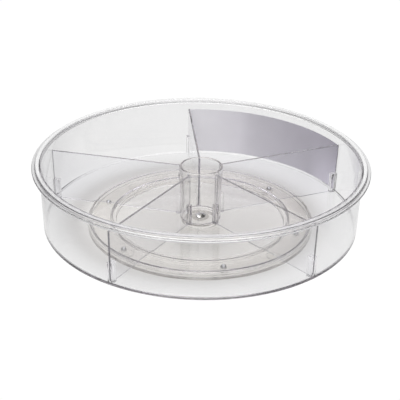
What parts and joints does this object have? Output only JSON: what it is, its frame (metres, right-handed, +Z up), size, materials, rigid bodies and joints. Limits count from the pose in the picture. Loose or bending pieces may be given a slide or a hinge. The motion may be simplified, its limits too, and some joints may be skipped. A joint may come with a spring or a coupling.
{
  "type": "round storage turntable",
  "caption": "Clear round storage caddy with a flanged rim, a centre tube and lift-out radial dividers, turning on a ball race over a low base.",
  "frame": {"origin": "on the table under the centre of the spindle rivet", "axes": "+Z up along the axis that the tray turns about; +X to the right and +Y to the back as the tray is usually seen"},
  "size_m": [0.35, 0.35, 0.0788],
  "materials": {
    "tray_clear": "clear polished moulding",
    "divider_clear": "clear polished sheet",
    "base_clear": "clear polished moulding",
    "cage_clear": "clear moulding with a faint warm tint",
    "ball_steel": "polished",
    "rivet_steel": "polished",
    "washer_steel": "satin",
    "washer_nylon": "satin",
    "card": "satin coated card",
    "foot_clear": "clear soft pad"
  },
  "bodies": {
    "base": {"base_plate": "base_clear", "foot_1": "foot_clear", "foot_2": "foot_clear", "foot_3": "foot_clear", "foot_4": "foot_clear", "spindle_rivet": "rivet_steel", "rivet_washer": "washer_steel", "thrust_washer": "washer_nylon"},
    "cage": {"ball_cage": "cage_clear"},
    "tray": {"tray": "tray_clear"},
    "ball_1": {"ball_1": "ball_steel"},
    "ball_2": {"ball_2": "ball_steel"},
    "ball_3": {"ball_3": "ball_steel"},
    "ball_4": {"ball_4": "ball_steel"},
    "ball_5": {"ball_5": "ball_steel"},
    "ball_6": {"ball_6": "ball_steel"},
    "divider_right": {"divider_right": "divider_clear"},
    "divider_back": {"divider_back": "divider_clear"},
    "divider_left": {"divider_left": "divider_clear"},
    "divider_front_left": {"divider_front_left": "divider_clear"},
    "divider_front_right": {"divider_front_right": "divider_clear"},
    "liner_card": {"liner_card": "card"}
  },
  "joints": [
    {"name": "tray_spin", "type": "hinge", "parent": "base", "child": "tray", "pos_m": [0, 0, 0.00884], "axis": [0, 0, 1], "continuous": true},
    {"name": "cage_spin", "type": "hinge", "parent": "base", "child": "cage", "pos_m": [0, 0, 0.00702], "axis": [0, 0, 1], "continuous": true},
    {"name": "ball_1_roll", "type": "hinge", "parent": "cage", "child": "ball_1", "pos_m": [0.07716, 0.07195, 0.00702], "axis": [0.7314, 0.682, 0], "continuous": true},
    {"name": "ball_2_roll", "type": "hinge", "parent": "cage", "child": "ball_2", "pos_m": [-0.02373, 0.1028, 0.00702], "axis": [-0.225, 0.9744, 0], "continuous": true},
    {"name": "ball_3_roll", "type": "hinge", "parent": "cage", "child": "ball_3", "pos_m": [-0.10089, 0.03085, 0.00702], "axis": [-0.9563, 0.2924, 0], "continuous": true},
    {"name": "ball_4_roll", "type": "hinge", "parent": "cage", "child": "ball_4", "pos_m": [-0.07716, -0.07195, 0.00702], "axis": [-0.7314, -0.682, 0], "continuous": true},
    {"name": "ball_5_roll", "type": "hinge", "parent": "cage", "child": "ball_5", "pos_m": [0.02373, -0.1028, 0.00702], "axis": [0.225, -0.9744, 0], "continuous": true},
    {"name": "ball_6_roll", "type": "hinge", "parent": "cage", "child": "ball_6", "pos_m": [0.10089, -0.03085, 0.00702], "axis": [0.9563, -0.2924, 0], "continuous": true},
    {"name": "divider_right_lift", "type": "slide", "parent": "tray", "child": "divider_right", "axis": [0, 0, 1], "range_m": [0, 0.07]},
    {"name": "divider_back_lift", "type": "slide", "parent": "tray", "child": "divider_back", "axis": [0, 0, 1], "range_m": [0, 0.07]},
    {"name": "divider_left_lift", "type": "slide", "parent": "tray", "child": "divider_left", "axis": [0, 0, 1], "range_m": [0, 0.07]},
    {"name": "divider_front_left_lift", "type": "slide", "parent": "tray", "child": "divider_front_left", "axis": [0, 0, 1], "range_m": [0, 0.07]},
    {"name": "divider_front_right_lift", "type": "slide", "parent": "tray", "child": "divider_front_right", "axis": [0, 0, 1], "range_m": [0, 0.07]},
    {"name": "liner_card_lift", "type": "slide", "parent": "tray", "child": "liner_card", "axis": [0, 0, 1], "range_m": [0, 0.07]}
  ],
  "couplings": [
    {"joint": "cage_spin", "follows": "tray_spin", "ratio": 0.5},
    {"joint": "ball_1_roll", "follows": "tray_spin", "ratio": -17.583},
    {"joint": "ball_2_roll", "follows": "tray_spin", "ratio": -17.583},
    {"joint": "ball_3_roll", "follows": "tray_spin", "ratio": -17.583},
    {"joint": "ball_4_roll", "follows": "tray_spin", "ratio": -17.583},
    {"joint": "ball_5_roll", "follows": "tray_spin", "ratio": -17.583},
    {"joint": "ball_6_roll", "follows": "tray_spin", "ratio": -17.583}
  ]
}
